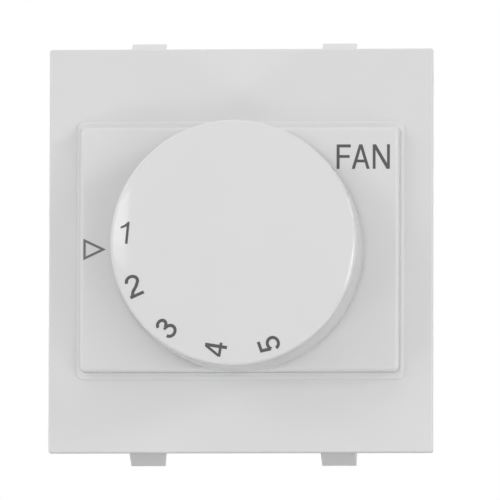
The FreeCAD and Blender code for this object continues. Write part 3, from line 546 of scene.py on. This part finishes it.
def terminal_screw(tip, head_back, head_radius):
    """The closed forms of one screw on its own axis: shank, head and the two halves over the slot."""
    head_front = head_back - SCREW_HEAD_DEPTH
    slot_floor = head_back - SCREW_HEAD_DEPTH / 2
    rings = round((head_front - tip) / THREAD_PITCH * RINGS_A_TURN)
    length = head_front + SCREW_EDGE - tip
    shank = [thread_ring(tip + length * ring / rings, tip) for ring in range(rings + 1)]
    disc = [screw_ring(head_front, lambda angle: head_radius - SCREW_EDGE / 2),
            screw_ring(head_front + SCREW_EDGE / 2, lambda angle: head_radius),
            screw_ring(slot_floor, lambda angle: head_radius)]
    forms = [strip(shank), strip(disc)]
    for sign in (1, -1):
        half = [head_half(slot_floor, head_radius, SCREW_SLOT / 2, sign),
                head_half(head_back - SCREW_EDGE, head_radius, SCREW_SLOT / 2, sign),
                head_half(head_back, head_radius - SCREW_EDGE, SCREW_SLOT / 2 + SLOT_EDGE, sign)]
        forms.append(strip(half))
    return forms


def piece_of(name, forms, material):
    """A new piece of the scene from closed forms, smooth but for its sharp edges."""
    all_corners, all_faces = [], []
    for corners, faces in forms:
        start = len(all_corners)
        all_corners += corners
        all_faces += [tuple(start + corner for corner in face) for face in faces]
    mesh = bpy.data.meshes.new(name)
    mesh.from_pydata(all_corners, [], all_faces)
    net = bmesh.new()
    net.from_mesh(mesh)
    bmesh.ops.recalc_face_normals(net, faces=net.faces)
    net.to_mesh(mesh)
    net.free()
    mesh.shade_smooth()
    mesh.set_sharp_from_angle(angle=math.radians(SHARP_ANGLE))
    piece = bpy.data.objects.new(name, mesh)
    bpy.context.scene.collection.objects.link(piece)
    piece.data.materials.append(material)
    return piece


low_corner, high_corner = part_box("terminal_screws")
head_radius = (high_corner.z - low_corner.z) / 2
screw_line = (high_corner.z + low_corner.z) / 2
forms = []
for end, turn in zip((-1, 1), SCREW_TURNS):
    axis = Vector((end * (high_corner.x - head_radius), 0, screw_line))
    turned = Matrix.Rotation(math.radians(turn), 3, "Y")
    for corners, faces in terminal_screw(low_corner.y, high_corner.y, head_radius):
        forms.append(([axis + turned @ Vector(corner) for corner in corners], faces))
screws = piece_of("terminal_screw_pair", forms, screw_zinc)
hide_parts("terminal_screws")
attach(screws, "module")


# Housing: the rear half of the case, moulded in light grey plastic in a mould with a fine
# spark-eroded grain. It snaps over the plate's catches.
HOUSING_GREY = (0.62, 0.62, 0.60)
HOUSING_ROUGHNESS = 0.5
SPARK_GRAIN = 0.00022
SPARK_DEPTH = 0.000010

grey_plastic = moulded_plastic("housing_plastic", HOUSING_GREY, HOUSING_ROUGHNESS, SPARK_GRAIN, SPARK_DEPTH)
dressed("housing", grey_plastic)


# Knob: a hollow cap with a slightly domed front, moulded in a glossier white plastic and
# pushed on to the spindle's flat. Its front mirrors the studio, so it is drawn here with a
# finer net than the CAD's. The numbers of the five speeds are pad-printed round its rim.
KNOB_WHITE = (0.752, 0.752, 0.754)
KNOB_ROUGHNESS = 0.05
KNOB_RADIUS = 0.0143
KNOB_DOME = 0.0009
KNOB_RIM_ROUND = 0.0004
KNOB_WALL = 0.0016
KNOB_TOP_WALL = 0.0020
KNOB_SIDES = 144
DOME_RINGS = 24
ROUND_RINGS = 8
HUB_RADIUS = 0.005
HUB_SETBACK = 0.0004
BORE_RADIUS = 0.00303
BORE_FLAT = 0.00213
RIB_COUNT = 6
RIB_WALL = 0.001
RIB_DEPTH = 0.004
NUMBER_HEIGHT = 0.00257
NUMBER_LINE = 0.138
NUMBER_STRETCH = 1.06
NUMBER_CIRCLE = 0.01258
FIRST_NUMBER_ANGLE = 275.3
NUMBER_PITCH = 28.7
NUMBER_WIDTH = 0.64
ARC_STEP = 12.0

knob_plastic = moulded_plastic("knob_plastic", KNOB_WHITE, KNOB_ROUGHNESS, RIPPLE_SIZE, RIPPLE_DEPTH / 2)
dressed("knob", knob_plastic)
knob_low, knob_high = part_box("knob")
knob_front, knob_base, base_radius = knob_low.y, knob_high.y, knob_high.x
knob_rim = knob_front + KNOB_DOME
knob_inside = knob_rim + KNOB_TOP_WALL
dome_radius = (KNOB_RADIUS**2 + KNOB_DOME**2) / (2 * KNOB_DOME)
draft = (base_radius - KNOB_RADIUS) / (knob_base - knob_rim)


def knob_outline():
    """The knob's half section from the middle of its front to the middle of its ceiling."""
    dome_centre = Vector((0, knob_front + dome_radius))
    along_side = Vector((draft, 1)).normalized()
    inward = Vector((-along_side.y, along_side.x))
    start = Vector((KNOB_RADIUS, knob_rim)) + inward * KNOB_RIM_ROUND - dome_centre
    drop = start.dot(along_side)
    slack = drop**2 - start.length_squared + (dome_radius - KNOB_RIM_ROUND) ** 2
    round_centre = dome_centre + start - along_side * (drop + math.sqrt(slack))
    from_dome = round_centre - dome_centre
    widest = math.atan2(from_dome.x, -from_dome.y)
    square = math.atan2(-inward.x, inward.y)
    outline = []
    for ring in range(DOME_RINGS + 1):
        angle = widest * ring / DOME_RINGS
        outline.append((dome_radius * math.sin(angle), dome_centre.y - dome_radius * math.cos(angle)))
    for ring in range(1, ROUND_RINGS + 1):
        angle = widest + (square - widest) * ring / ROUND_RINGS
        outline.append((round_centre.x + KNOB_RIM_ROUND * math.sin(angle),
                        round_centre.y - KNOB_RIM_ROUND * math.cos(angle)))
    inner_base = base_radius - KNOB_WALL
    inner_top = inner_base - draft * (knob_base - knob_inside)
    inside = [(inner_base, knob_base), (inner_top, knob_inside), (0, knob_inside)]
    return [*outline, (base_radius, knob_base), *inside]


def dial_ring(radius, y, flat=math.inf):
    """A ring of corners round the dial's axis, cut off above a flat where there is one."""
    turns = [2 * math.pi * side / KNOB_SIDES for side in range(KNOB_SIDES)]
    return [(radius * math.cos(turn), y, min(radius * math.sin(turn), flat)) for turn in turns]


def turned_form(outline):
    """A closed form turned about the dial's axis from a half section that starts and ends on it."""
    corners = [(0, outline[0][1], 0), (0, outline[-1][1], 0)]
    first = len(corners)
    for radius, y in outline[1:-1]:
        corners += dial_ring(radius, y)
    last = len(corners) - KNOB_SIDES
    faces = []
    for side in range(KNOB_SIDES):
        after = (side + 1) % KNOB_SIDES
        faces += [(0, first + after, first + side), (1, last + side, last + after)]
        faces += [(low + side, low + after, low + KNOB_SIDES + after, low + KNOB_SIDES + side)
                  for low in range(first, last, KNOB_SIDES)]
    return corners, faces


def hub_form():
    """The hub with its bore, as a closed tube that starts at the knob's ceiling."""
    back = knob_base - HUB_SETBACK
    rings = [dial_ring(BORE_RADIUS, back, BORE_FLAT), dial_ring(HUB_RADIUS, back),
             dial_ring(HUB_RADIUS, knob_inside), dial_ring(BORE_RADIUS, knob_inside, BORE_FLAT)]
    corners = [corner for ring in rings for corner in ring]
    faces = []
    for place in range(len(rings)):
        low, high = place * KNOB_SIDES, (place + 1) % len(rings) * KNOB_SIDES
        faces += [(low + side, low + (side + 1) % KNOB_SIDES, high + (side + 1) % KNOB_SIDES, high + side)
                  for side in range(KNOB_SIDES)]
    return corners, faces


def rib_form(angle):
    """A rib under the knob's ceiling, from the hub to the wall, at a clock angle."""
    near = (HUB_RADIUS + BORE_RADIUS) / 2
    far = base_radius - KNOB_WALL / 2 - draft * (knob_base - knob_inside)
    foot = [(-RIB_WALL / 2, near), (RIB_WALL / 2, near), (RIB_WALL / 2, far), (-RIB_WALL / 2, far)]
    corners, faces = strip([[(x, y, z) for x, z in foot] for y in (knob_inside, knob_inside + RIB_DEPTH)])
    turned = Matrix.Rotation(math.radians(angle), 3, "Y")
    return [turned @ Vector(corner) for corner in corners], faces


ribs = [rib_form(360 / RIB_COUNT * place) for place in range(RIB_COUNT)]
cap = piece_of("knob_moulding", [turned_form(knob_outline()), hub_form(), *ribs], knob_plastic)
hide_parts("knob")
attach(cap, "dial")


def arc(x, z, across, up, start, stop):
    """Points along part of an ellipse, by the angle from its right."""
    steps = max(2, round(abs(stop - start) / ARC_STEP))
    angles = [math.radians(start + (stop - start) * step / steps) for step in range(steps + 1)]
    return [(x + across * math.cos(angle), z + up * math.sin(angle)) for angle in angles]


def pen_line(points):
    """The outline of a line of the numbers' width through its points, with square ends."""
    points = [Vector(point) for point in points]
    left_side, right_side = [], []
    for place, point in enumerate(points):
        back = point - points[place - 1] if place else points[1] - point
        ahead = points[place + 1] - point if place + 1 < len(points) else back
        back, ahead = back.normalized(), ahead.normalized()
        side = (back + ahead).orthogonal().normalized()
        reach = side * NUMBER_LINE / 2 / side.dot(back.orthogonal())
        left_side.append(point + reach)
        right_side.append(point - reach)
    return [*right_side, *reversed(left_side)]


# Outlines of the numbers, in heights of a number, from the lower left corner
number_1 = [(0.345, 0), (0.455, 0), (0.455, 1), (0.38, 1), (0.335, 0.935), (0.23, 0.84), (0.09, 0.755),
            (0.09, 0.66), (0.21, 0.71), (0.345, 0.79)]
number_2 = [pen_line([*arc(0.32, 0.70, 0.245, 0.225, 180, -25), (0.40, 0.43), (0.19, 0.26), (0.07, 0.06)]),
            [(-0.02, -0.02), (0.61, -0.02), (0.61, 0.12), (-0.02, 0.12)]]
number_3 = [pen_line(arc(0.30, 0.755, 0.20, 0.18, 165, -90)),
            pen_line(arc(0.31, 0.295, 0.24, 0.23, 90, -175)),
            [(0.20, 0.48), (0.32, 0.48), (0.32, 0.60), (0.20, 0.60)]]
number_4 = [(0.39, 0), (0.53, 0), (0.53, 0.235), (0.63, 0.235), (0.63, 0.36), (0.53, 0.36), (0.53, 1),
            (0.375, 1), (0.03, 0.365), (0.03, 0.235), (0.39, 0.235)]
number_4_eye = [(0.39, 0.36), (0.39, 0.79), (0.155, 0.36)]
number_5 = [pen_line([(0.57, 0.925), (0.165, 0.925), (0.115, 0.49)]),
            pen_line([(0.115, 0.49), *arc(0.31, 0.325, 0.245, 0.25, 138, -165)])]
numbers = [([number_1], []), (number_2, []), (number_3, []), ([number_4], [number_4_eye]), (number_5, [])]


def on_knob(angle):
    """Gives the function that places the points of a number on the domed front, at a clock angle."""
    outward = Vector((math.sin(math.radians(angle)), math.cos(math.radians(angle))))
    clockwise = Vector((outward.y, -outward.x))

    def place(point, height):
        up = (point.y - 0.5) * NUMBER_HEIGHT
        right = (point.x - NUMBER_WIDTH / 2) * NUMBER_HEIGHT * NUMBER_STRETCH
        spot = outward * (NUMBER_CIRCLE - right) + clockwise * up
        sag = dome_radius - math.sqrt(dome_radius**2 - spot.length_squared)
        return Vector((spot.x, knob_front + sag - height, spot.y))

    return place


for step, (outlines, eyes) in enumerate(numbers):
    angle = FIRST_NUMBER_ANGLE - NUMBER_PITCH * step
    ink_film(f"print_number_{step + 1}", *merged(outlines, eyes), on_knob(angle), ink, "dial")


# Studio: a white light tent, bright at its left wall and overhead and dark in front, where the
# camera looks in. Soft lamps stand round it, two of them behind, and the knob's rim mirrors one
# panel at the left. A paper floor lies well below the module, which stands free above it.
FLOOR_DROP = 0.6
FLOOR_SIZE = 6.0
FLOOR_ROUGHNESS = 0.9
STUDIO_REACH = 1.0
TENT_LEFT = 0.88
TENT_RIGHT = 0.17
TENT_TOP = 0.86
FLOOR_PALE = (0.65, 0.65, 0.65)
FLOOR_DARK = (0.04, 0.04, 0.04)
FLOOR_FADE = (-0.15, 0.05)
FLOOR_VEIL = 0.85
VEIL_CLOSES = (0.65, 1.7)
AIM = Vector((0, -0.0033, 0))


def looking_from(azimuth, elevation):
    """The direction from the object to a place round it. Azimuth 0 is straight in front."""
    turn, lift = math.radians(azimuth), math.radians(elevation)
    return Vector((math.sin(turn) * math.cos(lift), -math.cos(turn) * math.cos(lift), math.sin(lift)))


def studio_lamp(name, azimuth, elevation, width, height, share, shape="ELLIPSE"):
    """A lamp whose width and height are angles seen from the object, and its share of the face's light."""
    direction = looking_from(azimuth, elevation)
    across = 2 * STUDIO_REACH * math.tan(math.radians(width / 2))
    up = 2 * STUDIO_REACH * math.tan(math.radians(height / 2))
    area = across * up * (math.pi / 4 if shape == "ELLIPSE" else 1)
    facing = abs(direction.y)
    radiance = share * math.pi / (area / STUDIO_REACH**2 * facing)
    data = bpy.data.lights.new(name, "AREA")
    data.shape = shape
    data.size = across
    data.size_y = up
    data.energy = radiance * math.pi * area
    lamp = bpy.data.objects.new(name, data)
    lamp.location = AIM + direction * STUDIO_REACH
    lamp.rotation_euler = direction.to_track_quat("Z", "Y").to_euler()
    lamp.visible_camera = False
    bpy.context.scene.collection.objects.link(lamp)


studio_lamp("high_left", -40.0, 20.0, 12.0, 12.0, 0.043)
studio_lamp("high_right", 60.0, 20.0, 12.0, 12.0, 0.071)
studio_lamp("side_right", 40.0, 0.0, 22.0, 24.0, 0.088)
studio_lamp("soft_right", 20.0, 0.0, 12.0, 12.0, 0.049)
studio_lamp("low_right", 20.0, -20.0, 12.0, 12.0, 0.028)
studio_lamp("foot_left", -60.0, -35.0, 12.0, 12.0, 0.053)
studio_lamp("foot_right", 60.0, -35.0, 12.0, 12.0, 0.039)
studio_lamp("rear_left", -150.0, 12.0, 20.0, 20.0, 0.12)
studio_lamp("rear_right", 150.0, 12.0, 20.0, 20.0, 0.12)

# The panel that the knob's rim mirrors, in two parts, because it is dimmer at its foot
studio_lamp("panel_left", -24.35, 7.9, 13.5, 7.4, 0.026, "RECTANGLE")
studio_lamp("panel_foot", -24.35, 2.9, 13.5, 2.6, 0.0047, "RECTANGLE")

floor_mesh = bpy.data.meshes.new("studio_floor")
half = FLOOR_SIZE / 2
floor_mesh.from_pydata([(-half, -half, -FLOOR_DROP), (half, -half, -FLOOR_DROP), (half, half, -FLOOR_DROP),
                        (-half, half, -FLOOR_DROP)], [], [(0, 1, 2, 3)])
floor = bpy.data.objects.new("studio_floor", floor_mesh)
bpy.context.scene.collection.objects.link(floor)


def seen_white(nodes, links):
    """One for what the camera sees, straight or in metal, and nothing for the light on the object."""
    path = nodes.new("ShaderNodeLightPath")
    seen = path.outputs["Is Camera Ray"]
    for ray in ("Is Glossy Ray", "Is Transmission Ray"):
        both = nodes.new("ShaderNodeMath")
        both.operation = "MAXIMUM"
        links.new(seen, both.inputs[0])
        links.new(path.outputs[ray], both.inputs[1])
        seen = both.outputs["Value"]
    return seen


# The floor paper looks nearly white, and quite white far off, where it meets the tent. It throws
# light up at the module from the front only, and fades to dark behind it, so the lower lugs lie
# in shade under the plate's edge.
paper, nodes, links, shader, place = new_finish("floor_paper")
across = nodes.new("ShaderNodeSeparateXYZ")
links.new(place, across.inputs["Vector"])
fade = nodes.new("ShaderNodeMapRange")
fade.inputs["From Min"].default_value, fade.inputs["From Max"].default_value = FLOOR_FADE
links.new(across.outputs["Y"], fade.inputs["Value"])
links.new(tinted(nodes, links, fade.outputs["Result"], FLOOR_PALE, FLOOR_DARK), shader.inputs["Base Color"])
shader.inputs["Roughness"].default_value = FLOOR_ROUGHNESS
shader.inputs["Specular IOR Level"].default_value = 0
white = nodes.new("ShaderNodeEmission")
distance = nodes.new("ShaderNodeVectorMath")
distance.operation = "LENGTH"
links.new(place, distance.inputs[0])
closing = nodes.new("ShaderNodeMapRange")
closing.inputs["From Min"].default_value, closing.inputs["From Max"].default_value = VEIL_CLOSES
closing.inputs["To Min"].default_value = FLOOR_VEIL
links.new(distance.outputs["Value"], closing.inputs["Value"])
veil = nodes.new("ShaderNodeMath")
veil.operation = "MULTIPLY"
links.new(seen_white(nodes, links), veil.inputs[0])
links.new(closing.outputs["Result"], veil.inputs[1])
look = nodes.new("ShaderNodeMixShader")
links.new(veil.outputs["Value"], look.inputs["Fac"])
links.new(shader.outputs["BSDF"], look.inputs[1])
links.new(white.outputs["Emission"], look.inputs[2])
links.new(look.outputs["Shader"], nodes["Material Output"].inputs["Surface"])
floor_mesh.materials.append(paper)

# The tent glows by how far a place on it lies to the left, to the right or overhead
world = bpy.data.worlds.new("studio")
world.use_nodes = True
bpy.context.scene.world = world
nodes, links = world.node_tree.nodes, world.node_tree.links
tent = nodes["Background"]
tent.inputs["Color"].default_value = (1, 1, 1, 1)
direction_of = nodes.new("ShaderNodeSeparateXYZ")
links.new(nodes.new("ShaderNodeTexCoord").outputs["Generated"], direction_of.inputs["Vector"])
walls = []
for axis, end, gain in (("X", -1, TENT_LEFT), ("X", 1, TENT_RIGHT), ("Z", 1, TENT_TOP)):
    wall = nodes.new("ShaderNodeMapRange")
    wall.inputs["From Max"].default_value = end
    wall.inputs["To Max"].default_value = gain
    links.new(direction_of.outputs[axis], wall.inputs["Value"])
    walls.append(wall.outputs["Result"])
glow = walls[0]
for wall in walls[1:]:
    total = nodes.new("ShaderNodeMath")
    links.new(glow, total.inputs[0])
    links.new(wall, total.inputs[1])
    glow = total.outputs["Value"]
strength = nodes.new("ShaderNodeMix")
strength.inputs["B"].default_value = 1
links.new(seen_white(nodes, links), strength.inputs["Factor"])
links.new(glow, strength.inputs["A"])
links.new(strength.outputs["Result"], tent.inputs["Strength"])


# Camera: a long lens, a little to the right of the dial's axis and below it. It is aimed so
# that the plate lies in the frame as it does in the photograph, just left of the middle.
CAMERA_AZIMUTH = 4.1
CAMERA_ELEVATION = -4.55
CAMERA_ROLL = 0.16
CAMERA_DISTANCE = 1.5
CAMERA_REACH = 20.0
PIXELS_PER_METRE = 8563
PHOTO_WIDTH = 500
SENSOR = 36.0
AIM_RIGHT = 0.001076
AIM_UP = 0.000072

direction = looking_from(CAMERA_AZIMUTH, CAMERA_ELEVATION)
stand = direction.to_track_quat("Z", "Y") @ Quaternion((0, 0, 1), math.radians(CAMERA_ROLL))
camera_data = bpy.data.cameras.new("camera")
camera_data.sensor_width = SENSOR
camera_data.lens = PIXELS_PER_METRE * CAMERA_DISTANCE * SENSOR / PHOTO_WIDTH
camera_data.clip_end = CAMERA_REACH
camera = bpy.data.objects.new("camera", camera_data)
camera.rotation_euler = stand.to_euler()
camera.location = AIM + stand @ Vector((AIM_RIGHT, AIM_UP, CAMERA_DISTANCE))
bpy.context.scene.collection.objects.link(camera)
bpy.context.scene.camera = camera
bpy.context.scene.view_settings.view_transform = "Standard"
